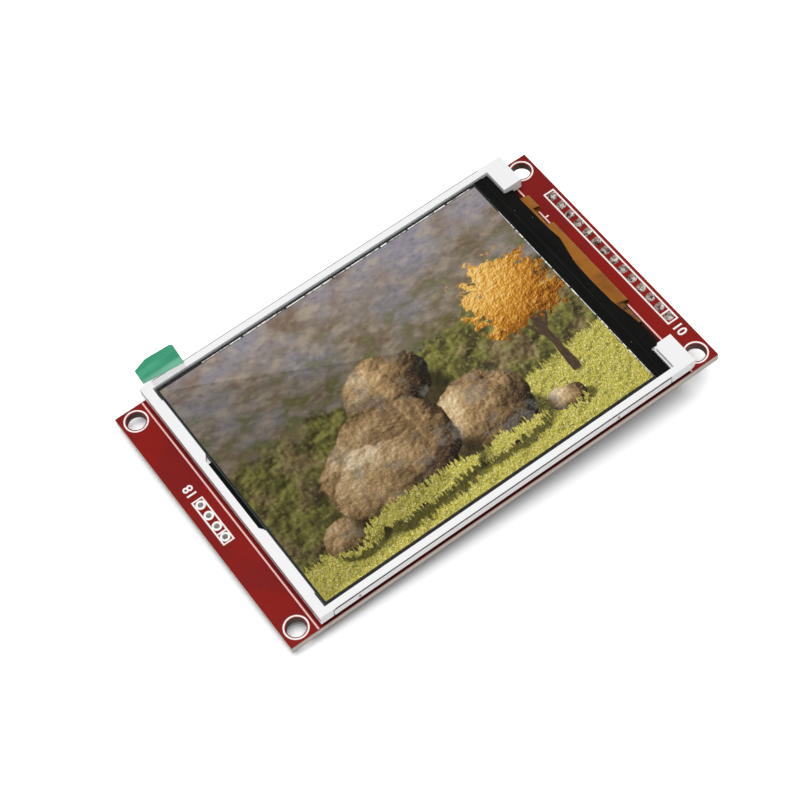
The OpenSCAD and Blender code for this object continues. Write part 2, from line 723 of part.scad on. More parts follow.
module panel_flex() color([0.72, 0.45, 0.1]) {
    flex_tongue(px1 - tongue_setback, flex_y0 + flex_w - eps, flex_tab_y + eps);
    flex_band(flex_reach, joint_row_x, flex_y0, flex_y0 + flex_w);
    flex_band(flex_reach - 1.1, joint_row_x + 6, flex_y0 - 5.1, flex_y0);
    flex_band(flex_reach + 0.1, joint_row_x + 8, flex_tab_y, flex_tab_y + 3.1);
}

module flex_solder() color([0.78, 0.78, 0.76])
    for (i = [0 : flex_joints_n - 1])
        translate([joint_row_x, flex_y0 + flex_w / 2 + (i - (flex_joints_n - 1) / 2) * flex_joint_pitch, 0])
            box(-0.4, joint_row_len - 0.6, -0.22, 0.22, board_t + flex_t, board_t + flex_t + 0.12);

function slope_z(x) = z_flex + flex_t / 2 / cos(slope) - (x - bend_x) * tan(slope);

module tape_plan() polygon([
    [tape_x0, sy0], [rib_x - 0.08, sy0], [rib_x - 0.08, near_ear_y + 0.2], [px1 - 2.25, near_ear_y + 0.2],
    [px1 - 2.0, -18], [px1 - 2.2, -15.3], [px1 - 2.45, -13], [px1 - 2.9, -10.8], [px1 - 3.2, -8.8],
    [px1 - 3.35, -3], [px1 - 3.25, 1.3], [px1 - 2.8, 3.6], [px1 - 1.95, 7.6], [px1 - 2.25, 10.4],
    [px1 - 2.3, 14.4], [px1 - 2.42, 19], [px1 - 2.1, far_ear_y - 0.2], [wx1 + 0.1, far_ear_y - 0.2],
    [wx1 + 0.1, sy1], [tape_x0, sy1]]);

// Under side of the tape as it lies over the chip, the flex and the slope; rise lifts it.
function tape_side(rise) = [
    [tape_x0 - 1, z_chip_top + rise], [chip_x1 + 0.1, z_chip_top + rise],
    [flex_x0 + 0.1, z_front_glass + flex_t + rise], [bend_x + eps, z_front_glass + flex_t + rise],
    [px1, slope_z(px1) + rise]];

module ledge_tape() color([0.05, 0.06, 0.07])
    intersection() {
        linear_extrude(20) tape_plan();
        translate([0, py1, 0]) rotate([90, 0, 0]) linear_extrude(panel_w)
            polygon(concat(tape_side(0), turned(tape_side(tape_t))));
    }

// Clear film over the screen, with a tail that climbs over the frame under the green tab.
module clear_film() color([0.9, 0.95, 0.97, 0.15]) {
    box(sx0 + 0.15, front_glass_x1 - 0.15, sy0 + 0.15, sy1 - 0.15, z_film, z_film + film_t);
    translate([sx0 + 0.2, 0, 0]) rotate([90, 0, 90]) linear_extrude(tab_x1 - 0.1 - sx0 - 0.2) polygon([
        [sy1 - 0.3, z_film], [wy1 - 0.06, pz1], [py1 + 0.9, pz1], [py1 + 0.9, pz1 + film_t],
        [wy1 - 0.1, pz1 + film_t], [sy1 - 0.35, z_film + film_t]]);
}

module pull_tab() color([0.25, 0.6, 0.47])
    intersection() {
        linear_extrude(20) polygon([
            [tab_x1 - tab_w, py1 + 0.3], [tab_x1, py1 - 0.45], [tab_x1 + 0.35, py1 + tab_reach - 0.85],
            [tab_x1 - 0.15, py1 + tab_reach - 0.45], [tab_x1 - tab_w * 0.63, py1 + tab_reach - 0.2],
            [tab_x1 - tab_w * 0.975, py1 + tab_reach - 1.2]]);
        translate([px0 - 5, 0, 0]) rotate([90, 0, 90]) linear_extrude(30) polygon([
            [py1 - 1, z_tab], [py1 + 1, z_tab], [py1 + tab_reach, z_tab - 0.3],
            [py1 + tab_reach, z_tab - 0.3 + tab_t], [py1 + 1, z_tab + tab_t], [py1 - 1, z_tab + tab_t]]);
    }

circuit_board();
lacquer_top();
lacquer_under();
white_print();
row_hole_pads();
header_solder();
header_strip();
header_pins();
socket_shell();
socket_base();
socket_contacts();
regulator_bodies();
regulator_leads();
capacitor_bodies();
capacitor_ends();
resistor_bodies();
resistor_ends();
bare_chip_pads();
foam_tape();
steel_tray();
lcd_frame();
reflector_sheet();
light_guide();
lamp_flex();
lamps();
diffuser_sheet();
lower_prism_sheet();
upper_prism_sheet();
rim_tape();
rear_polarizer();
rear_glass();
front_glass();
front_polarizer();
picture_hills();
picture_scrub();
picture_grass();
picture_rocks();
picture_shade();
picture_leaves();
driver_chip();
panel_flex();
flex_solder();
ledge_tape();
clear_film();
pull_tab();
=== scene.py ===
# %% [markdown]
# # A colour display module on its circuit board
# A liquid-crystal panel lies in a white plastic frame and is taped to a red circuit board. Every
# piece with a real size is already a solid, made in millimetres from the source of the part. This
# lesson loads those solids, gives each one its finish, adds the few things that are too fine for
# the solids, such as printed numerals, and sets a plain studio round them.

# %% Load the solids
import math
import bpy
from mathutils import Matrix, Vector


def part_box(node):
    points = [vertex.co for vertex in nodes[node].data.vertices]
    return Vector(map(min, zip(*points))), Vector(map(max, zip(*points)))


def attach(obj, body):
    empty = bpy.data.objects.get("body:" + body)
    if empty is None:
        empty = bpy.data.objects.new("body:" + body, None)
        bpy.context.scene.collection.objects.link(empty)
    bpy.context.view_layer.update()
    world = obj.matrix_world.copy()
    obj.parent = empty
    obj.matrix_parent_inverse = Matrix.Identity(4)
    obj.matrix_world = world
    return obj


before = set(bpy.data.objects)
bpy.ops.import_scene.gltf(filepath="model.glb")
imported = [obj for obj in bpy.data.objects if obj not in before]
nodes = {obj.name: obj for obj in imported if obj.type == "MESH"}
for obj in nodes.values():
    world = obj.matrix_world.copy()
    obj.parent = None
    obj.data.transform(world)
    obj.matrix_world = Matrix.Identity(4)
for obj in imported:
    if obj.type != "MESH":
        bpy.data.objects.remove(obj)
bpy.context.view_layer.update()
MM = 0.001

# %% [markdown]
# ## Places
# Positions are read from the solids, never typed twice. `place` gives a solid's lowest and highest
# corner. The board's top, the picture and the frame's top are used again and again below.

# %% Read the main places
def place(name):
    low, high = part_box(name)
    return Vector(low), Vector(high)


board_low, board_high = place("lacquer_top")
frame_low, frame_high = place("lcd_frame")
film_low = place("clear_film")[0]
picture_low, grass_high = place("picture_grass")
picture_high = Vector((grass_high.x, place("picture_hills")[1].y, grass_high.z))
print("picture", [round(v / MM, 2) for v in (picture_high - picture_low)], "mm")

# %% [markdown]
# ## Small helpers for materials
# A material is a graph of nodes round one Principled BSDF. These helpers keep the graphs readable:
# `colour` turns a screen colour from 0 to 255 into the linear light values that shaders use,
# `new_material` makes a material with its shader, `axes` gives the place on a piece in millimetres,
# `tint` lays one colour over another where a value rises, and most of the rest add one node each.
# Colours that are the same all over sit on the shader's own socket, and only what changes over the
# surface is linked.

# %% Helpers for node graphs
def colour(red, green, blue):
    def linear(c):
        c = c / 255
        return c / 12.92 if c <= 0.04045 else ((c + 0.055) / 1.055) ** 2.4
    return (linear(red), linear(green), linear(blue), 1.0)


def new_material(name, base, roughness=0.5, metallic=0.0, **sockets):
    material = bpy.data.materials.new(name)
    material.use_nodes = True
    shader = material.node_tree.nodes["Principled BSDF"]
    shader.inputs["Base Color"].default_value = base
    shader.inputs["Roughness"].default_value = roughness
    shader.inputs["Metallic"].default_value = metallic
    for socket, value in sockets.items():
        shader.inputs[socket.replace("_", " ")].default_value = value
    return material


def shader_of(material):
    return material.node_tree.nodes["Principled BSDF"]


def add(tree, kind, **settings):
    node = tree.nodes.new(kind)
    for name, value in settings.items():
        setattr(node, name, value)
    return node


def feed(tree, socket, value):
    """Links an output to a socket, or writes a plain value on it."""
    if isinstance(value, bpy.types.NodeSocket):
        tree.links.new(value, socket)
    else:
        socket.default_value = value


def maths(tree, operation, a, b=0.0, c=0.0, clamp=False):
    node = add(tree, "ShaderNodeMath", operation=operation, use_clamp=clamp)
    for socket, value in zip(node.inputs, (a, b, c)):
        feed(tree, socket, value)
    return node.outputs[0]


def times(tree, a, b):
    return maths(tree, "MULTIPLY", a, b)


def plus(tree, a, b):
    return maths(tree, "ADD", a, b)


def minus(tree, a, b):
    return maths(tree, "SUBTRACT", a, b)


def vectors(tree, operation, a, b):
    """Vector maths. For SCALE the second value is a number."""
    node = add(tree, "ShaderNodeVectorMath", operation=operation)
    feed(tree, node.inputs[0], a)
    feed(tree, node.inputs["Scale" if operation == "SCALE" else 1], b)
    return node.outputs[0]


def mix(tree, factor, a, b):
    node = add(tree, "ShaderNodeMix", data_type="RGBA")
    feed(tree, node.inputs["Factor"], factor)
    feed(tree, node.inputs["A"], a)
    feed(tree, node.inputs["B"], b)
    return node.outputs["Result"]


def step_up(tree, value, low, high):
    """A smooth ramp from 0 at low to 1 at high. It falls instead where low is the larger."""
    node = add(tree, "ShaderNodeMapRange", interpolation_type="SMOOTHSTEP")
    feed(tree, node.inputs["Value"], value)
    feed(tree, node.inputs["From Min"], low)
    feed(tree, node.inputs["From Max"], high)
    return node.outputs["Result"]


def between(tree, value, low, high, soft=0.04):
    """1 between two places in millimetres, with soft ends."""
    return times(tree, step_up(tree, value, low - soft, low + soft),
                 step_up(tree, value, high + soft, high - soft))


def tint(tree, tone, value, low, high, share, over):
    """Lays a colour over a tone as the value goes from low to high, up to a share."""
    return mix(tree, times(tree, step_up(tree, value, low, high), share), tone, over)


def ramp(tree, value, *stops):
    """A colour for each value. A stop is a position and a screen colour."""
    node = add(tree, "ShaderNodeValToRGB")
    feed(tree, node.inputs["Fac"], value)
    elements = node.color_ramp.elements
    while len(elements) < len(stops):
        elements.new(0.5)
    for element, (position, *screen) in zip(elements, stops):
        element.position = position
        element.color = colour(*screen)
    return node.outputs["Color"]


def where(tree, scale=(1.0, 1.0, 1.0), turn=0.0, shift=(0.0, 0.0, 0.0)):
    """Object coordinates in millimetres, stretched, turned about Z in degrees and shifted."""
    coordinates = add(tree, "ShaderNodeTexCoord")
    mapping = add(tree, "ShaderNodeMapping")
    mapping.inputs["Scale"].default_value = [1000 * s for s in scale]
    mapping.inputs["Rotation"].default_value = (0, 0, math.radians(turn))
    mapping.inputs["Location"].default_value = shift
    tree.links.new(coordinates.outputs["Object"], mapping.inputs["Vector"])
    return mapping.outputs["Vector"]


def axes(tree, vector=None):
    """The X, Y and Z of a vector, or of the place on the piece in millimetres."""
    split = add(tree, "ShaderNodeSeparateXYZ")
    tree.links.new(vector if vector else where(tree), split.inputs[0])
    return split.outputs


def noise(tree, vector, scale=1.0, detail=3.0, roughness=0.5, distortion=0.0, kind="FBM",
          output="Fac"):
    node = add(tree, "ShaderNodeTexNoise", noise_type=kind)
    tree.links.new(vector, node.inputs["Vector"])
    for name, value in (("Scale", scale), ("Detail", detail), ("Roughness", roughness),
                        ("Distortion", distortion)):
        feed(tree, node.inputs[name], value)
    return node.outputs[output]


def bump(tree, shader, height, strength, distance):
    node = add(tree, "ShaderNodeBump")
    node.inputs["Strength"].default_value = strength
    node.inputs["Distance"].default_value = distance
    tree.links.new(height, node.inputs["Height"])
    tree.links.new(node.outputs["Normal"], shader.inputs["Normal"])


def new_group(name, inputs, outputs):
    """An empty group. A socket is a number unless its name is Vector or Color."""
    group = bpy.data.node_groups.new(name, "ShaderNodeTree")
    kinds = {"Vector": "NodeSocketVector", "Color": "NodeSocketColor"}
    for side, names in (("INPUT", inputs), ("OUTPUT", outputs)):
        for socket in names:
            kind = kinds.get(socket, "NodeSocketFloat")
            group.interface.new_socket(socket, in_out=side, socket_type=kind)
    inside = add(group, "NodeGroupInput").outputs
    outside = add(group, "NodeGroupOutput").inputs
    return group, inside, outside


print("helpers ready")

# %% [markdown]
# ## An effect that many finishes share
# Real surfaces are never one flat tone. The group below takes a colour and gives it back with slow
# and fine variation, together with a roughness and a height for the bump. It holds no shader, so
# it can be placed in any material with its own strength and grain size.

# %% The shared surface variation group
def make_variation_group():
    group, inside, outside = new_group("surface_variation",
                                       ("Vector", "Color", "Tone", "Grain", "Roughness", "Spread"),
                                       ("Color", "Roughness", "Height"))
    slow = noise(group, inside["Vector"], scale=0.12, detail=2)
    fine = noise(group, inside["Vector"], scale=inside["Grain"], detail=4)
    both = maths(group, "MULTIPLY_ADD", fine, 0.5, times(group, slow, 0.5))
    swing = minus(group, both, 0.5)
    gain = maths(group, "MULTIPLY_ADD", swing, times(group, inside["Tone"], 4.0), 1.0)
    rough = maths(group, "MULTIPLY_ADD", swing, times(group, inside["Spread"], 4.0),
                  inside["Roughness"], clamp=True)
    group.links.new(vectors(group, "SCALE", inside["Color"], gain), outside["Color"])
    group.links.new(rough, outside["Roughness"])
    group.links.new(fine, outside["Height"])
    return group


VARIATION = make_variation_group()


def vary(material, tone=0.1, grain=4.0, roughness=0.4, spread=0.1, bumps=0.1, depth=0.00002,
         stretch=(1.0, 1.0, 1.0), turn=0.0, base=None):
    """Places the variation group in a material and links what it puts out."""
    tree = material.node_tree
    shader = shader_of(material)
    group = add(tree, "ShaderNodeGroup", node_tree=VARIATION)
    tree.links.new(where(tree, stretch, turn), group.inputs["Vector"])
    feed(tree, group.inputs["Color"], base if base else tuple(shader.inputs["Base Color"].default_value))
    for name, value in (("Tone", tone), ("Grain", grain), ("Roughness", roughness), ("Spread", spread)):
        group.inputs[name].default_value = value
    tree.links.new(group.outputs["Color"], shader.inputs["Base Color"])
    tree.links.new(group.outputs["Roughness"], shader.inputs["Roughness"])
    if bumps:
        bump(tree, shader, group.outputs["Height"], bumps, depth)
    return material


def dress(material, *names):
    """Gives CAD nodes a material in every slot they have."""
    for name in names:
        mesh = nodes[name].data
        mesh.materials.clear()
        mesh.materials.append(material)
    print(material.name, "on", ", ".join(names))


print("group", VARIATION.name)

# %% [markdown]
# ## The circuit board
# The board is a glass-fibre laminate between two skins of red lacquer. The laminate shows only at
# its sawn edge, beige and faintly layered, and at the walls of the mounting holes, which are painted
# dark brown as painted shade inside the holes. Distance from the nearest hole centre picks out those
# walls.

# %% Laminate
HOLE_INSET_X = 2.76
HOLE_INSET_Y = 2.65
HOLE_WALL_RADIUS = 2.0


def laminate_material():
    material = new_material("laminate", colour(206, 197, 186), roughness=0.7)
    tree = material.node_tree
    x, y, z = axes(tree)
    hole_x = (board_high.x - board_low.x) / 2 / MM - HOLE_INSET_X
    hole_y = (board_high.y - board_low.y) / 2 / MM - HOLE_INSET_Y
    dx = minus(tree, maths(tree, "ABSOLUTE", x), hole_x)
    dy = minus(tree, maths(tree, "ABSOLUTE", y), hole_y)
    squared = plus(tree, times(tree, dx, dx), times(tree, dy, dy))
    hole_shade_painted = maths(tree, "LESS_THAN", squared, HOLE_WALL_RADIUS ** 2)
    layers = noise(tree, where(tree, (0.15, 0.15, 9.0)), detail=2)
    plies = mix(tree, layers, colour(188, 176, 160), colour(222, 214, 204))
    edge = tint(tree, plies, z, 0.28, 0.12, 1.0, colour(120, 104, 92))
    edge = tint(tree, edge, z, 1.3, 1.42, 0.8, colour(96, 52, 46))
    # Painted shade: the hole walls are dark brown in place of the shade inside the holes.
    both = mix(tree, hole_shade_painted, edge, colour(82, 56, 52))
    return vary(material, tone=0.12, grain=5.0, roughness=0.75, spread=0.1, bumps=0.3,
                depth=0.00004, base=both)


dress(laminate_material(), "circuit_board")

# %% [markdown]
# The lacquer is a deep brick red, a little glossy, and it follows the weave of the cloth under it
# with a faint ripple. Copper under the lacquer makes some areas slightly lighter. Its specular level
# is low, because the lacquer's own red is darker than a full reflection of a white room would be.
# The underside throws a grey light on the table instead of a red one, which keeps the shadow plain.
# Under the panel the lacquer is painted nearly black: painted shade, seen in the gap below the
# panel's edge.

# %% Red lacquer
def on_top(tree):
    """1 on the board's upper side and 0 on its underside."""
    return step_up(tree, axes(tree)["Z"], 0.7, 0.9)


def painted_panel_shade(tree):
    """How much painted shade darkens the lacquer where the panel covers it."""
    spot = axes(tree)
    inner = times(tree, on_top(tree), 0.8)
    for axis, low, high in (("X", frame_low.x, frame_high.x), ("Y", frame_low.y, frame_high.y)):
        inner = times(tree, inner, step_up(tree, spot[axis], low / MM, low / MM + 0.25))
        inner = times(tree, inner, step_up(tree, spot[axis], high / MM - 0.3, high / MM - 0.6))
    return inner


def lacquer_material():
    material = new_material("red_lacquer", colour(140, 28, 24), roughness=0.38, Specular_IOR_Level=0.1)
    tree = material.node_tree
    pour = noise(tree, where(tree), scale=0.07, detail=2, distortion=0.6)
    red = mix(tree, step_up(tree, pour, 0.4, 0.6), colour(134, 27, 25), colour(147, 27, 20))
    weave = noise(tree, where(tree, (1.0, 6.0, 1.0), 45), scale=0.7, detail=2)
    red = mix(tree, times(tree, weave, 0.25), red, colour(106, 20, 19))
    # Painted shade: the lacquer under the panel turns nearly black.
    red = mix(tree, painted_panel_shade(tree), red, colour(44, 6, 6))
    path = add(tree, "ShaderNodeLightPath").outputs
    thrown = times(tree, minus(tree, 1.0, on_top(tree)), path["Is Diffuse Ray"])
    red = mix(tree, thrown, red, colour(56, 48, 50))
    return vary(material, tone=0.07, grain=1.6, roughness=0.4, spread=0.08, bumps=0.15,
                depth=0.00003, base=red)


dress(lacquer_material(), "lacquer_top", "lacquer_under")

# %% [markdown]
# The print is a thick white ink that takes a pink cast from the lacquer under it, most where the
# ink is thin and along the two printed lines that run beside the panel's ends.

# %% Printed ink
PINK_LINES = (frame_low.x / MM - 0.62, frame_high.x / MM - 0.57)


def ink_material():
    material = new_material("white_ink", colour(250, 238, 232), roughness=0.6)
    tree = material.node_tree
    thin = noise(tree, where(tree), scale=2.2, detail=4, roughness=0.6)
    tone = mix(tree, step_up(tree, thin, 0.5, 0.75), colour(255, 251, 248), colour(244, 212, 204))
    for line_x in PINK_LINES:
        off = maths(tree, "ABSOLUTE", minus(tree, axes(tree)["X"], line_x))
        tone = mix(tree, step_up(tree, off, 0.35, 0.2), tone, colour(255, 206, 200))
    return vary(material, tone=0.04, grain=6.0, roughness=0.6, spread=0.08, bumps=0.2,
                depth=0.00002, base=tone)


ink = ink_material()
dress(ink, "white_print")

# %% [markdown]
# ## Metals
# Tinned pads are bright and slightly soft. The solder joints are darker: cooled solder with a brown
# haze of flux. Pins and contacts are gold over brass, and the tray and the card socket's shell are
# rolled steel, whose grain runs one way. The tray's near wall stands a hair away from the frame, and
# its upper rim there is painted dark, a painted shade for that gap.

# %% Tin, solder, gold and steel
def tin_material():
    material = new_material("tinned_copper", colour(242, 242, 238), metallic=0.45)
    return vary(material, tone=0.12, grain=5.0, roughness=0.3, spread=0.15, bumps=0.25, depth=0.00003)


def solder_material():
    material = new_material("fluxed_solder", colour(170, 160, 152), metallic=0.5)
    tree = material.node_tree
    flux = noise(tree, where(tree), scale=1.4, detail=3, roughness=0.6)
    tone = mix(tree, step_up(tree, flux, 0.46, 0.58), colour(226, 220, 212), colour(84, 54, 44))
    return vary(material, tone=0.2, grain=3.0, roughness=0.22, spread=0.2, bumps=0.6,
                depth=0.00012, base=tone)


def gold_material():
    material = new_material("gold_plate", colour(214, 182, 110), metallic=1.0)
    tree = material.node_tree
    tone = mix(tree, step_up(tree, axes(tree)["Z"], 1.4, 1.9), colour(214, 182, 110),
               colour(150, 134, 124))
    return vary(material, tone=0.1, grain=6.0, roughness=0.3, spread=0.12, bumps=0.1, depth=0.00001,
                base=tone)


def steel_material():
    material = new_material("rolled_steel", colour(206, 204, 203), metallic=0.55)
    tree = material.node_tree
    spot = axes(tree)
    tray_low, tray_high = place("steel_tray")
    # Painted shade: the upper rim of the near wall is dark where it stands close to the frame.
    rim = step_up(tree, spot["Z"], tray_high.z / MM - 0.24, tray_high.z / MM - 0.18)
    near = step_up(tree, spot["Y"], tray_low.y / MM + 0.6, tray_low.y / MM + 0.4)
    tone = mix(tree, times(tree, rim, near), colour(206, 204, 203), colour(52, 50, 50))
    return vary(material, tone=0.1, grain=1.5, roughness=0.36, spread=0.12, bumps=0.15,
                depth=0.00002, stretch=(0.2, 8.0, 8.0), base=tone)


dress(tin_material(), "row_hole_pads", "regulator_leads", "capacitor_ends", "resistor_ends",
      "bare_chip_pads", "flex_solder")
dress(solder_material(), "header_solder")
dress(gold_material(), "header_pins", "socket_contacts")
dress(steel_material(), "steel_tray", "socket_shell")

# %% [markdown]
# ## Plastics and small parts
# The frame is moulded white plastic with a satin skin. Its joints with the tray are painted dark,
# as painted shade in the gaps.
# Header strip and socket base are black, the regulators are moulded epoxy, the capacitors are tan
# ceramic and the resistors black glaze.

# %% Plastics
def moulded(name, tone_colour, roughness, grain=3.0, tone=0.05, bumps=0.15, depth=0.00003, **sockets):
    material = new_material(name, tone_colour, roughness=roughness, **sockets)
    return vary(material, tone=tone, grain=grain, roughness=roughness, spread=0.06, bumps=bumps,
                depth=depth)


def frame_plastic():
    """White plastic, with painted shade in its joints with the tray: far side, end, and the near gap."""
    white = colour(250, 250, 250)
    material = new_material("white_frame", white, roughness=0.42, Specular_IOR_Level=0.3)
    tree = material.node_tree
    x, y, z = axes(tree)
    left, near = frame_low.x / MM, frame_low.y / MM
    right, far, top = (v / MM for v in frame_high)
    tray_from, tray_to = left + 2.6, right - 5.1
    # Painted shade in the gaps between frame and tray: grey along the far side, brown-grey on the end
    # wall above the tray, and dark grey in the narrow gap on the near side.
    far_gap_shade = times(tree, between(tree, y, far - 0.17, far + 1),
                      between(tree, x, tray_from, tray_to))
    end_gap_shade = times(tree, between(tree, x, left - 1, left + 0.06),
                      between(tree, z, top - 1.1, top - 0.2))
    tone = mix(tree, times(tree, far_gap_shade, 0.85), white, colour(128, 128, 130))
    tone = mix(tree, times(tree, end_gap_shade, 0.85), tone, colour(120, 104, 98))
    near_slit_shade = times(tree, between(tree, z, top - 0.7, top - 0.42, 0.02),
                 step_up(tree, y, near + 1.2, near + 1.0))
    near_slit_shade = times(tree, near_slit_shade, between(tree, x, tray_from, tray_to))
    tone = mix(tree, near_slit_shade, tone, colour(58, 56, 56))
    return vary(material, tone=0.012, grain=3.0, roughness=0.42, spread=0.06, bumps=0.15,
                depth=0.00003, base=tone)


dress(frame_plastic(), "lcd_frame")
dress(moulded("black_plastic", colour(28, 28, 29), 0.45, tone=0.12), "header_strip", "socket_base")
dress(moulded("moulded_epoxy", colour(30, 30, 32), 0.55, tone=0.15, grain=6.0), "regulator_bodies")
dress(moulded("tan_ceramic", colour(158, 128, 90), 0.5, tone=0.12), "capacitor_bodies")
dress(moulded("black_glaze", colour(22, 22, 24), 0.25, tone=0.1), "resistor_bodies")
dress(moulded("black_foam", colour(24, 24, 25), 0.9, grain=8.0, tone=0.25, bumps=0.6,
              depth=0.00008), "foam_tape")

# %% [markdown]
# ## Sheets of the panel
# Most sheets behind the glass hardly show, only their edges do. They still get their own finish:
# white film, clear acrylic, glass, dark polarizing film and the polished driver chip.

# %% Films, glass and chip
white_film = moulded("white_film", colour(240, 240, 240), 0.6, tone=0.03)
dress(white_film, "reflector_sheet", "diffuser_sheet")
acrylic = moulded("clear_acrylic", colour(226, 238, 242), 0.15, tone=0.02, bumps=0.05,
                  Transmission_Weight=0.8)
dress(acrylic, "light_guide", "lower_prism_sheet", "upper_prism_sheet")
panel_glass = moulded("panel_glass", colour(60, 74, 74), 0.08, tone=0.04, bumps=0.03)
dress(panel_glass, "rear_glass", "front_glass")
dark_film = moulded("polarizer_film", colour(14, 15, 18), 0.3, tone=0.2, bumps=0.05,
                    Specular_IOR_Level=0.3)
dress(dark_film, "front_polarizer", "rear_polarizer")
dress(moulded("polished_silicon", colour(70, 72, 80), 0.2, tone=0.1, Specular_IOR_Level=0.6),
      "driver_chip")
dress(moulded("lamp_body", colour(236, 224, 160), 0.4, tone=0.06), "lamps")

# %% [markdown]
# The black tape over the ledge is smooth but shines very little. It lies over chip and flex, so it
# shows soft ridges that run along the panel's end; their faint sheen is painted as lighter streaks.
# It also carries a little dust.

# %% Black tape
def tape_material():
    material = new_material("black_tape", colour(13, 14, 12), roughness=0.3, Specular_IOR_Level=0.05)
    tree = material.node_tree
    ridges = noise(tree, where(tree, (5.0, 0.12, 1.0)), scale=1.0, detail=3)
    dust = step_up(tree, noise(tree, where(tree), scale=1.8, detail=1), 0.79, 0.82)
    # Painted sheen: the ridges are drawn as faintly lighter streaks on the black.
    tone = mix(tree, step_up(tree, ridges, 0.5, 0.75), colour(11, 12, 10), colour(27, 29, 27))
    tone = mix(tree, dust, tone, colour(190, 190, 184))
    return vary(material, tone=0.2, grain=2.0, roughness=0.32, spread=0.12, bumps=0.25,
                depth=0.00006, base=tone)


dress(tape_material(), "ledge_tape", "rim_tape")

# %% [markdown]
# ## The amber flex
# The flex is polyimide film with copper lines inside. The lines run from the panel to the board,
# along X, so a wave across Y draws them. Between them the film is a clearer orange. The near corner
# is painted darker, a painted shade where a crease would shade it, but its fold is plain.

# %% Amber flex
flex_low, flex_high = place("panel_flex")
dark_corner_y = flex_low.y / MM + 5.4
print("flex from", round(flex_low.y / MM, 2), "to", round(flex_high.y / MM, 2))


def flex_material():
    material = new_material("amber_flex", colour(160, 100, 22), roughness=0.35, Specular_IOR_Level=0.2)
    tree = material.node_tree
    lines = add(tree, "ShaderNodeTexWave", bands_direction="Y", wave_profile="SIN")
    tree.links.new(where(tree), lines.inputs["Vector"])
    lines.inputs["Scale"].default_value = 0.62
    lines.inputs["Distortion"].default_value = 0.4
    lines.inputs["Detail"].default_value = 1.0
    copper = mix(tree, step_up(tree, lines.outputs["Fac"], 0.35, 0.65), colour(154, 94, 18),
                 colour(168, 107, 27))
    patch = noise(tree, where(tree), scale=0.25, detail=2)
    tone = mix(tree, step_up(tree, patch, 0.45, 0.7), copper, colour(136, 80, 14))
    # Painted shade: the near corner darkens to deep brown, patchy like creases.
    corner = step_up(tree, axes(tree)["Y"], dark_corner_y + 0.3, dark_corner_y - 0.3)
    crease_shade = step_up(tree, noise(tree, where(tree), scale=1.1), 0.4, 0.6)
    shade = times(tree, corner, maths(tree, "MULTIPLY_ADD", crease_shade, 0.5, 0.35))
    tone = mix(tree, shade, tone, colour(44, 26, 10))
    return vary(material, tone=0.06, grain=1.2, roughness=0.36, spread=0.08, bumps=0.2,
                depth=0.00003, base=tone)


dress(flex_material(), "panel_flex", "lamp_flex")

# %% [markdown]
# ## Pull tab and film
# The screen wears a clear film with a green tab to pull it off. The film is so thin that it only
# lays a faint gloss over the picture, so most of it is see-through by its alpha.

# %% Green tab and clear film
def tab_material():
    material = new_material("green_tab", colour(56, 140, 108), roughness=0.3, Specular_IOR_Level=0.2)
    tree = material.node_tree
    fold_y = frame_high.y / MM
    streaks = noise(tree, where(tree, (0.12, 0.7, 1.0)), detail=2)
    tone = mix(tree, step_up(tree, streaks, 0.4, 0.7), colour(58, 152, 116), colour(74, 170, 132))
    tone = tint(tree, tone, axes(tree)["Y"], fold_y + 1.4, fold_y + 0.4, 0.45, colour(150, 206, 180))
    return vary(material, tone=0.05, grain=1.0, roughness=0.3, spread=0.08, bumps=0.2,
                depth=0.00005, base=tone)


def film_material():
    material = new_material("clear_film", colour(20, 22, 22), roughness=0.12, Alpha=0.06)
    tree = material.node_tree
    haze = noise(tree, where(tree, (0.4, 1.0, 1.0), 30), scale=0.3, detail=2)
    tree.links.new(maths(tree, "MULTIPLY_ADD", haze, 0.08, 0.08), shader_of(material).inputs["Roughness"])
    bump(tree, shader_of(material), haze, 0.05, 0.0001)
    return material


dress(tab_material(), "pull_tab")
dress(film_material(), "clear_film")

# %% [markdown]
# ## The lit picture
# The screen shows a generic landscape: hazy ridges, scrub, a grass slope, a heap of boulders and an
# autumn tree. The solids already hold its plain fields of colour. One material paints the detail
# over all of them by position, so no seam shows between the fields. The screen makes its own
# light, so the picture goes to Emission Color at strength 1 and the base stays black.
#
# First comes a group that turns position into picture millimetres, with the origin at the lower
# left corner of the picture and a little wobble for natural outlines.

# %% Group: place in the picture
def make_spot_group():
    group, inside, outside = new_group("picture_place", ("Wobble", "Grain"), ("X", "Y", "Vector"))
    corner = (-picture_low.x / MM, -picture_low.y / MM, 0.0)
    flat = where(group, (1.0, 1.0, 0.0), shift=corner)
    wobble = noise(group, flat, scale=inside["Grain"], detail=4, output="Color")
    centred = vectors(group, "SUBTRACT", wobble, (0.5, 0.5, 0.5))
    moved = vectors(group, "ADD", flat, vectors(group, "SCALE", centred, inside["Wobble"]))
    spot = axes(group, moved)
    group.links.new(spot["X"], outside["X"])
    group.links.new(spot["Y"], outside["Y"])
    group.links.new(flat, outside["Vector"])
    return group


SPOT = make_spot_group()
print("group", SPOT.name)

# %% [markdown]
# Noise looks like a lit surface when its height at one spot is compared with its height a small
# step towards the light: where the ground falls away to the light it is bright. This one group
# gives rock, bush, grass and leaf their relief.

# %% Group: noise lit from the upper left
LIGHT = Vector((-0.50, 0.62, 0.60)).normalized()


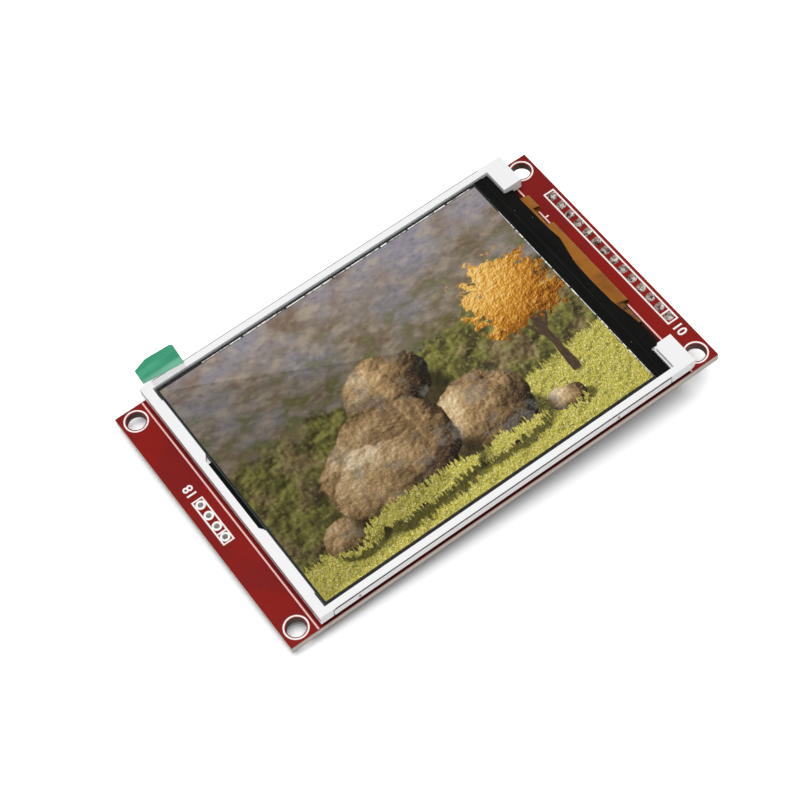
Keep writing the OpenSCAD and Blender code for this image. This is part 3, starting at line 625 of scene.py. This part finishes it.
def make_relief_group():
    group, inside, outside = new_group("lit_relief",
                                       ("Vector", "Scale", "Detail", "Rough", "Gain", "Warp"),
                                       ("Height", "Light"))
    reach = maths(group, "DIVIDE", 0.16, inside["Scale"])
    step = vectors(group, "SCALE", (LIGHT.x, LIGHT.y, 0.0), reach)
    moved = vectors(group, "ADD", inside["Vector"], step)
    here, there = (noise(group, vector, inside["Scale"], inside["Detail"], inside["Rough"],
                         inside["Warp"]) for vector in (inside["Vector"], moved))
    lit = maths(group, "MULTIPLY_ADD", minus(group, here, there), inside["Gain"], 0.5, clamp=True)
    group.links.new(here, outside["Height"])
    group.links.new(lit, outside["Light"])
    return group


RELIEF = make_relief_group()


def relief(tree, vector, scale, detail=5.0, rough=0.6, gain=5.0, warp=0.0):
    group = add(tree, "ShaderNodeGroup", node_tree=RELIEF)
    tree.links.new(vector, group.inputs["Vector"])
    for name, value in (("Scale", scale), ("Detail", detail), ("Rough", rough), ("Gain", gain),
                        ("Warp", warp)):
        group.inputs[name].default_value = value
    return group.outputs


print("group", RELIEF.name)

# %% [markdown]
# A boulder is an ellipse that is shaded as if it were round. Inside the ellipse the height of a
# sphere gives a normal, and its dot product with the light's direction gives light and shade. The
# group puts out a mask, a light value and how deep inside the outline a spot lies. Each boulder of
# the heap is one copy with its own centre and size, and so is each part of the tree's crown.

# %% Group: a shaded boulder
def make_boulder_group():
    group, inside, outside = new_group("shaded_boulder",
                                       ("X", "Y", "Centre X", "Centre Y", "Half width",
                                        "Half height", "Relief"), ("Mask", "Light", "Inside"))
    px = maths(group, "DIVIDE", minus(group, inside["X"], inside["Centre X"]), inside["Half width"])
    py = maths(group, "DIVIDE", minus(group, inside["Y"], inside["Centre Y"]), inside["Half height"])
    squared = plus(group, times(group, px, px), times(group, py, py))
    group.links.new(step_up(group, squared, 1.02, 0.98), outside["Mask"])
    group.links.new(minus(group, 1.0, squared), outside["Inside"])
    pz = maths(group, "SQRT", maths(group, "MAXIMUM", minus(group, 1.0, squared), 0.0))
    lit = times(group, px, LIGHT.x)
    lit = maths(group, "MULTIPLY_ADD", py, LIGHT.y, lit)
    lit = maths(group, "MULTIPLY_ADD", pz, LIGHT.z, lit)
    lit = plus(group, lit, inside["Relief"])
    group.links.new(maths(group, "MULTIPLY_ADD", lit, 0.6, 0.2, clamp=True), outside["Light"])
    return group


BOULDER = make_boulder_group()
print("group", BOULDER.name)

# %% [markdown]
# The picture is built from back to front. Each layer has its own short function that returns a
# colour, and a mask mixes it over what lies behind. All sizes are shares of the picture, as in the
# source of the part.

# %% Layers of the landscape
WIDE = (picture_high.x - picture_low.x) / MM
HIGH = (picture_high.y - picture_low.y) / MM
BOULDERS = [(0.15, 0.15, 0.2, 0.75), (0.8, 0.12, 0.13, 0.75), (0.46, 0.53, 0.32, 0.8),
            (0.61, 0.24, 0.36, 0.86), (0.35, 0.29, 0.5, 0.82)]
CROWN = [(0.93, 0.5, 0.2, 0.8), (0.82, 0.48, 0.18, 0.8), (0.87, 0.58, 0.34, 0.95)]


def picture_spot(tree, wobble, grain):
    group = add(tree, "ShaderNodeGroup", node_tree=SPOT)
    group.inputs["Wobble"].default_value = wobble
    group.inputs["Grain"].default_value = grain
    return group.outputs


def stretched(tree, vector, across, along, turn):
    """The same vector, squeezed to one side so that noise on it runs in strokes."""
    node = add(tree, "ShaderNodeMapping")
    node.inputs["Rotation"].default_value = (0, 0, math.radians(turn))
    node.inputs["Scale"].default_value = (across, along, 1.0)
    tree.links.new(vector, node.inputs["Vector"])
    return node.outputs[0]


def below_line(tree, spot, left, right, softness):
    """1 below a slanting line from left to right, given as shares of the picture's height."""
    share = maths(tree, "DIVIDE", spot["X"], WIDE)
    line = maths(tree, "MULTIPLY_ADD", share, (right - left) * HIGH, left * HIGH)
    over = minus(tree, spot["Y"], line)
    return step_up(tree, over, softness, -softness)


def hills_layer(tree, spot):
    """Far hillsides out of focus: soft patches of mauve, brown and olive, hazier to the top."""
    slope = stretched(tree, spot["Vector"], 0.75, 1.1, 24)
    wide = noise(tree, slope, scale=0.12, detail=2)
    small = noise(tree, slope, scale=0.34, detail=2)
    fine = noise(tree, slope, scale=1.1, detail=4, roughness=0.6)
    up = maths(tree, "DIVIDE", spot["Y"], HIGH)
    tone = ramp(tree, up, (0.5, 134, 122, 86), (0.75, 150, 138, 122), (1.0, 152, 145, 150))
    tone = tint(tree, tone, wide, 0.42, 0.7, 0.9, colour(126, 104, 84))
    tone = tint(tree, tone, wide, 0.56, 0.3, 0.7, colour(140, 136, 154))
    low = times(tree, step_up(tree, up, 1.02, 0.55), 0.85)
    tone = tint(tree, tone, small, 0.44, 0.68, low, colour(104, 112, 50))
    tone = tint(tree, tone, small, 0.52, 0.3, 0.55, colour(184, 172, 150))
    for left, right, wobble in ((0.93, 0.84, 5.0), (0.78, 0.88, 6.0), (0.74, 0.64, 6.0)):
        ridge = below_line(tree, picture_spot(tree, wobble, 0.11), left, right, 2.4)
        tone = mix(tree, times(tree, ridge, 0.13), tone, colour(74, 64, 48))
    tone = tint(tree, tone, fine, 0.5, 0.72, 0.3, colour(186, 170, 150))
    return tint(tree, tone, fine, 0.5, 0.28, 0.4, colour(84, 76, 66))


def scrub_layer(tree, spot):
    """Nearer scrub, still soft: bushes of olive and dry brown with dark gaps and pale twigs."""
    bushes = relief(tree, spot["Vector"], 0.22, detail=4.0, rough=0.5, gain=2.6, warp=0.1)
    green = ramp(tree, bushes["Light"], (0.12, 44, 38, 22), (0.42, 88, 84, 44),
                 (0.62, 124, 122, 58), (0.92, 166, 160, 92))
    dry = ramp(tree, bushes["Light"], (0.12, 50, 40, 26), (0.42, 106, 90, 60),
               (0.62, 142, 124, 86), (0.92, 188, 172, 132))
    kind = noise(tree, spot["Vector"], scale=0.13)
    tone = mix(tree, step_up(tree, kind, 0.46, 0.64), green, dry)
    tone = tint(tree, tone, bushes["Height"], 0.5, 0.28, 0.75, colour(38, 32, 20))
    leaves = noise(tree, spot["Vector"], scale=1.3, detail=4, roughness=0.65)
    tone = tint(tree, tone, leaves, 0.52, 0.7, 0.5, colour(176, 170, 104))
    tone = tint(tree, tone, leaves, 0.48, 0.32, 0.5, colour(40, 36, 22))
    twigs = noise(tree, spot["Vector"], scale=0.3, detail=2, distortion=1.2, kind="RIDGED_MULTIFRACTAL")
    return tint(tree, tone, twigs, 0.92, 1.05, 0.6, colour(198, 182, 144))


def grass_layer(tree, spot):
    """Grass: thin upright blades that catch the light, in tufts, with dark roots between."""
    upright = stretched(tree, spot["Vector"], 2.6, 0.8, 14)
    blades = relief(tree, upright, 1.5, detail=6.0, rough=0.72, gain=3.6, warp=0.5)
    tone = ramp(tree, blades["Light"], (0.1, 68, 64, 18), (0.4, 164, 154, 52), (0.58, 210, 199, 86),
                (0.78, 244, 232, 134), (1.0, 255, 252, 206))
    tufts = relief(tree, spot["Vector"], 0.3, detail=4.0, rough=0.6, gain=5.0)
    tone = tint(tree, tone, tufts["Light"], 0.5, 0.15, 0.55, colour(100, 96, 28))
    heads = noise(tree, spot["Vector"], scale=2.6, detail=2)
    return tint(tree, tone, heads, 0.6, 0.68, 0.8, colour(255, 250, 206))


print(len(BOULDERS), "boulders")

# %% [markdown]
# The boulders share one rock colour: warm tan where lit, dark brown in the shade. Flat facets come
# from the random tone of each cell in a warped cell pattern, a few cracks from ridged noise, and
# grit from fine relief. The crown's leaves are amber with cream where the sun strikes.

# %% Rocks and tree
def facets(tree, spot):
    """A light offset that is the same over each facet of a rock, at two sizes."""
    flat = add(tree, "ShaderNodeCombineXYZ")
    for axis in "XY":
        tree.links.new(spot[axis], flat.inputs[axis])
    total = 0.0
    for scale, share in ((0.09, 0.5), (0.22, 0.22)):
        cells = add(tree, "ShaderNodeTexVoronoi", feature="F1")
        tree.links.new(flat.outputs[0], cells.inputs["Vector"])
        cells.inputs["Scale"].default_value = scale
        tone = minus(tree, axes(tree, cells.outputs["Color"])["X"], 0.5)
        total = plus(tree, total, times(tree, tone, share))
    return total


def rock_relief(tree, spot):
    light = relief(tree, spot["Vector"], 0.3, detail=8.0, rough=0.62, gain=4.0, warp=0.1)["Light"]
    rough = times(tree, minus(tree, light, 0.5), 0.75)
    return plus(tree, facets(tree, picture_spot(tree, 4.0, 0.35)), rough)


def rock_colour(tree, spot, light):
    tone = ramp(tree, light, (0.0, 20, 14, 9), (0.24, 74, 55, 35), (0.5, 144, 116, 78),
                (0.74, 198, 166, 118), (1.0, 248, 228, 190))
    stain = noise(tree, spot["Vector"], scale=0.2, detail=5, roughness=0.65)
    tone = tint(tree, tone, stain, 0.52, 0.62, 0.45, colour(128, 124, 116))
    cracks = noise(tree, spot["Vector"], scale=0.16, distortion=0.8, kind="RIDGED_MULTIFRACTAL")
    tone = tint(tree, tone, cracks, 1.12, 1.3, 0.7, colour(36, 26, 18))
    grit = noise(tree, spot["Vector"], scale=3.4, roughness=0.7)
    tone = tint(tree, tone, grit, 0.54, 0.64, 0.45, colour(74, 56, 36))
    return tint(tree, tone, grit, 0.42, 0.34, 0.3, colour(226, 204, 164))


def leaf_colour(tree, spot, light):
    sun = relief(tree, spot["Vector"], 0.9, detail=6.0, rough=0.7, gain=3.6, warp=0.3)["Light"]
    both = maths(tree, "MULTIPLY_ADD", sun, 0.62, times(tree, light, 0.42))
    return ramp(tree, both, (0.16, 52, 30, 8), (0.36, 150, 86, 20), (0.54, 216, 148, 44),
                (0.7, 246, 206, 112), (0.92, 255, 244, 208))


def ellipse_at(tree, spot, bumps, share):
    u, v, size, squash = share
    group = add(tree, "ShaderNodeGroup", node_tree=BOULDER)
    for name in ("X", "Y"):
        tree.links.new(spot[name], group.inputs[name])
    feed(tree, group.inputs["Relief"], bumps)
    group.inputs["Centre X"].default_value = u * WIDE
    group.inputs["Centre Y"].default_value = v * HIGH
    group.inputs["Half width"].default_value = size * HIGH / 2
    group.inputs["Half height"].default_value = size * squash * HIGH / 2
    return group.outputs


print("rock and leaf colours ready")

# %% [markdown]
# Now the layers go together. The trunk is the narrow gap between two slanting lines. Leaves stand
# where the crown's depth and a clumpy noise agree, which leaves the outline ragged and lets the
# hills show through. Soft dark ellipses ground the boulders, and grass grows up over their feet.

# %% The landscape material
TRUNK = [(0.872, 0.004, 0.18, 0.5, 0.011), (0.885, 0.09, 0.38, 0.6, 0.006),
         (0.868, -0.08, 0.36, 0.56, 0.005)]


def trunk_mask(tree, spot):
    """1 inside the trunk and the two branches of the tree."""
    wood = 0.0
    across = maths(tree, "DIVIDE", spot["X"], WIDE)
    for x, lean, low, high, thick in TRUNK:
        up = minus(tree, maths(tree, "DIVIDE", spot["Y"], HIGH), low)
        centre = maths(tree, "MULTIPLY_ADD", up, lean * 4, x)
        off = maths(tree, "ABSOLUTE", minus(tree, across, centre))
        span = times(tree, step_up(tree, up, -0.005, 0.005),
                     step_up(tree, up, high - low + 0.01, high - low - 0.01))
        limb = times(tree, step_up(tree, off, thick * 1.15, thick * 0.85), span)
        wood = maths(tree, "MAXIMUM", wood, limb)
    return wood


def landscape_material():
    material = new_material("lit_picture", (0.0, 0.0, 0.0, 1.0), roughness=0.25,
                            Specular_IOR_Level=0.08, Emission_Strength=1.0)
    tree = material.node_tree
    calm = picture_spot(tree, 1.6, 0.25)
    rough = picture_spot(tree, 3.0, 0.45)
    grass = grass_layer(tree, calm)
    clumped = picture_spot(tree, 9.0, 0.3)
    tone = mix(tree, below_line(tree, clumped, 0.57, 0.61, 1.5), hills_layer(tree, calm),
               scrub_layer(tree, calm))
    tall = times(tree, noise(tree, stretched(tree, calm["Vector"], 2.2, 0.3, 12)), 5.0)
    raised = {"X": rough["X"], "Y": plus(tree, rough["Y"], minus(tree, 2.5, tall))}
    tone = mix(tree, below_line(tree, raised, 0.13, 0.3, 0.3), tone, grass)
    bark = mix(tree, noise(tree, stretched(tree, calm["Vector"], 3.0, 0.5, 0)),
               colour(30, 22, 16), colour(104, 84, 64))
    tone = mix(tree, trunk_mask(tree, calm), tone, bark)
    clumps = noise(tree, calm["Vector"], scale=0.5, detail=6, roughness=0.7)
    for share in CROWN:
        part = ellipse_at(tree, picture_spot(tree, 3.5, 0.4), 0.0, share)
        depth = maths(tree, "MULTIPLY_ADD", minus(tree, clumps, 0.5), 4.5, part["Inside"])
        leaves = leaf_colour(tree, calm, part["Light"])
        tone = mix(tree, step_up(tree, depth, 0.08, 0.2), tone, leaves)
    bumps = rock_relief(tree, calm)
    bent = picture_spot(tree, 4.0, 0.16)
    for share in BOULDERS:
        u, v, size, squash = share
        ground = (u + 0.02, v - 0.3 * size, size * 1.12, squash * 0.62)
        shadow = ellipse_at(tree, calm, 0.0, ground)
        tone = tint(tree, tone, shadow["Inside"], 0.0, 0.35, 0.8, colour(36, 32, 14))
        rock = ellipse_at(tree, bent, bumps, share)
        tone = mix(tree, rock["Mask"], tone, rock_colour(tree, calm, rock["Light"]))
        if v < 0.4:
            foot = ellipse_at(tree, raised, 0.0, (u, v - 0.42 * size * squash, size * 0.95, 0.16))
            tone = mix(tree, foot["Mask"], tone, grass)
    tone = mix(tree, below_line(tree, raised, 0.02, 0.07, 0.3), tone, grass)
    tree.links.new(tone, shader_of(material).inputs["Emission Color"])
    return material


dress(landscape_material(), "picture_hills", "picture_scrub", "picture_grass", "picture_rocks",
      "picture_shade", "picture_leaves")

# %% [markdown]
# ## Printed numerals
# The board carries plain numerals beside its two rows: 01 beside the square of the long row's first
# pin, and 18 beside the row of four holes. A text object is the quickest start. It is made a mesh,
# then given its place in the mesh, so that the object itself stays at the origin.

# %% Numerals
NUMERAL_HEIGHT = 1.85


def numeral(name, words, height, x, y, turn):
    bpy.ops.object.select_all(action="DESELECT")
    bpy.ops.object.text_add(location=(0, 0, 0))
    piece = bpy.context.object
    piece.data.body = words
    piece.data.size = height * 1.4 * MM
    piece.data.align_x = "CENTER"
    piece.data.align_y = "CENTER"
    piece.data.extrude = 0.02 * MM
    piece.data.offset = 0.05 * MM
    piece.data.resolution_u = 3
    bpy.ops.object.convert(target="MESH")
    piece.name = name
    lift = board_high.z + 0.02 * MM
    piece.data.transform(Matrix.Translation((x, y, lift)) @ Matrix.Rotation(math.radians(turn), 4, "Z"))
    piece.data.materials.clear()
    piece.data.materials.append(ink)
    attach(piece, "root")
    print(name, len(piece.data.polygons), "faces")


header_low, header_high = place("header_solder")
row_low, row_high = place("row_hole_pads")
numeral("numeral_01", "01", NUMERAL_HEIGHT, (header_low.x + header_high.x) / 2, header_low.y - 2.3 * MM, 90)
numeral("numeral_18", "18", NUMERAL_HEIGHT, (row_low.x + row_high.x) / 2, row_high.y + 2.4 * MM, 90)

# %% [markdown]
# ## The bright rim of the screen
# Along the picture's flex end and its upper edge a hair-thin line of light escapes past the dark
# film, broken into dashes. One dash is modelled, a flat bar with soft ends, and copied with its own
# mesh and length. The dashes of an edge are joined into one piece.

# %% Bright rim dashes
def light_leak_material():
    material = new_material("light_leak", colour(40, 40, 38), roughness=0.5, Emission_Strength=1.0)
    tree = material.node_tree
    flicker = noise(tree, where(tree), scale=1.3, detail=4, roughness=0.7)
    tone = mix(tree, step_up(tree, flicker, 0.36, 0.56), colour(120, 118, 104), colour(255, 255, 248))
    tree.links.new(tone, shader_of(material).inputs["Emission Color"])
    return material


def one_dash():
    bpy.ops.object.select_all(action="DESELECT")
    bpy.ops.mesh.primitive_cube_add(size=1)
    dash = bpy.context.object
    dash.data.transform(Matrix.Diagonal((MM, 0.16 * MM, 0.02 * MM, 1)))
    soft = dash.modifiers.new("soft_ends", "BEVEL")
    soft.width = 0.02 * MM
    soft.segments = 1
    bpy.ops.object.modifier_apply(modifier=soft.name)
    return dash


def rim_dashes(name, start, end, lengths, gap, width, material):
    """Copies the dash along a line: the lengths repeat until the end is reached."""
    along = Vector(end) - Vector(start)
    turn = Matrix.Rotation(math.atan2(along.y, along.x), 4, "Z")
    source = one_dash()
    copies = []
    at = 0.0
    step = 0
    while at < along.length:
        length = min(lengths[step % len(lengths)] * MM, along.length - at)
        copy = source.copy()
        copy.data = source.data.copy()
        copy.data.transform(Matrix.Diagonal((length / MM, width * (0.7 + 0.3 * (step % 3)), 1, 1)))
        spot = Vector(start) + along.normalized() * (at + length / 2)
        copy.data.transform(Matrix.Translation(spot) @ turn)
        bpy.context.scene.collection.objects.link(copy)
        copies.append(copy)
        at += length + gap * MM * (1 + step % 2)
        step += 1
    bpy.data.objects.remove(source, do_unlink=True)
    bpy.ops.object.select_all(action="DESELECT")
    for copy in copies:
        copy.select_set(True)
    bpy.context.view_layer.objects.active = copies[0]
    bpy.ops.object.join()
    piece = bpy.context.object
    piece.name = name
    piece.data.materials.clear()
    piece.data.materials.append(material)
    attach(piece, "root")
    print(name, step, "dashes")


leak = light_leak_material()
strip_z = film_low.z + 0.01 * MM
edge_x = picture_high.x + 0.12 * MM
edge_y = picture_high.y + 0.2 * MM
rim_dashes("rim_light_end", (edge_x, picture_high.y - 7 * MM, strip_z),
           (edge_x, picture_low.y + 0.1 * MM, strip_z), (3.4, 1.1, 2.2, 4.6, 0.8, 1.9), 0.22, 1.0, leak)
rim_dashes("rim_light_far", (picture_low.x + 9 * MM, edge_y, strip_z),
           (picture_high.x - 1 * MM, edge_y, strip_z), (5.6, 2.4, 7.2, 1.3, 4.0), 0.22, 1.2, leak)

# %% [markdown]
# ## Studio
# The module rests on its pin tips and on the corner of the card socket, so the table is tilted a
# little in the part's own frame. The table is bright paper. The camera, and what mirrors or bends
# light to it, sees the paper brighter than the light that it throws back on the module. So the open
# paper is white and only the dark part of the shadow shows, close to the edge. Far from the module
# the paper glows, again only where it is seen, so that it stays white out to the horizon.

# %% Table
PAPER_THROWN = 0.8
PAPER_SEEN = 1.56
GLOW_FROM = 160
GLOW_FULL = 420


def in_view(tree):
    """1 for what the camera sees, straight or in metal and glass."""
    path = add(tree, "ShaderNodeLightPath").outputs
    mirrored = maths(tree, "MAXIMUM", path["Is Glossy Ray"], path["Is Transmission Ray"])
    return maths(tree, "MAXIMUM", path["Is Camera Ray"], mirrored)


def table_material():
    material = new_material("white_table", colour(235, 235, 235), roughness=0.9)
    tree = material.node_tree
    shader = shader_of(material)
    shader.inputs["Specular IOR Level"].default_value = 0.0
    seen = in_view(tree)
    level = maths(tree, "MULTIPLY_ADD", seen, PAPER_SEEN - PAPER_THROWN, PAPER_THROWN)
    paper = add(tree, "ShaderNodeCombineColor")
    for name in ("Red", "Green", "Blue"):
        tree.links.new(level, paper.inputs[name])
    tree.links.new(paper.outputs[0], shader.inputs["Base Color"])
    away = add(tree, "ShaderNodeVectorMath", operation="LENGTH")
    tree.links.new(where(tree), away.inputs[0])
    far = times(tree, step_up(tree, away.outputs["Value"], GLOW_FROM, GLOW_FULL), seen)
    shader.inputs["Emission Color"].default_value = (1, 1, 1, 1)
    tree.links.new(far, shader.inputs["Emission Strength"])
    return material


pins_low, pins_high = place("header_pins")
shell_low = place("socket_shell")[0]
tilt = math.atan2(pins_low.z - shell_low.z, (pins_low.x + pins_high.x) / 2 - shell_low.x)
bpy.ops.object.select_all(action="DESELECT")
bpy.ops.mesh.primitive_plane_add(size=6, location=(shell_low.x, 0, shell_low.z),
                                 rotation=(0, -tilt, 0))
table = bpy.context.object
table.name = "table"
table.data.materials.append(table_material())
print("table tilt", round(math.degrees(tilt), 2), "degrees")

# %% [markdown]
# The world gives even light from all sides. To the camera, and in metal and glass, it is plain
# white. One large soft lamp hangs high above, a little in front of the module.

# %% World and lamps
def world_light(level):
    world = bpy.data.worlds.new("studio")
    bpy.context.scene.world = world
    world.use_nodes = True
    tree = world.node_tree
    room = maths(tree, "MAXIMUM", in_view(tree), level)
    background = tree.nodes["Background"]
    background.inputs["Color"].default_value = (1, 1, 1, 1)
    tree.links.new(room, background.inputs["Strength"])
    print("world ready")


def soft_lamp(name, position, size, power):
    data = bpy.data.lights.new(name, "AREA")
    data.shape = "DISK"
    data.size = size
    data.energy = power
    lamp = bpy.data.objects.new(name, data)
    bpy.context.scene.collection.objects.link(lamp)
    lamp.location = position
    lamp.rotation_euler = (-Vector(position)).to_track_quat("-Z", "Y").to_euler()
    print(name, power, "W")


world_light(0.4)
soft_lamp("key_lamp", (-0.08, -0.1, 0.95), 0.72, 5.4)

# %% [markdown]
# ## Camera
# The camera stands to the left of the module and in front of it, high above the table, with a long
# lens, so that the long edges hardly converge.

# %% Camera
def camera_at(position, right, up, forward, lens):
    data = bpy.data.cameras.new("camera")
    data.lens = lens
    data.sensor_width = 36
    data.clip_start = 0.01
    data.clip_end = 20
    camera = bpy.data.objects.new("camera", data)
    bpy.context.scene.collection.objects.link(camera)
    back = -Vector(forward)
    turn = Matrix((right, up, back)).transposed().to_4x4()
    camera.matrix_world = Matrix.Translation(position) @ turn
    bpy.context.scene.camera = camera
    print("camera at", [round(v, 3) for v in position])


camera_at(Vector((-92.217, -180.052, 336.308)) * MM, (0.8095, -0.5792, -0.0961),
          (0.5412, 0.6728, 0.5044), (0.2275, 0.4603, -0.8581), 101.89)

# %% [markdown]
# ## Finish
# The view transform is plain, so that a colour renders about as it is written.

# %% Plain view transform
bpy.context.scene.view_settings.view_transform = "Standard"
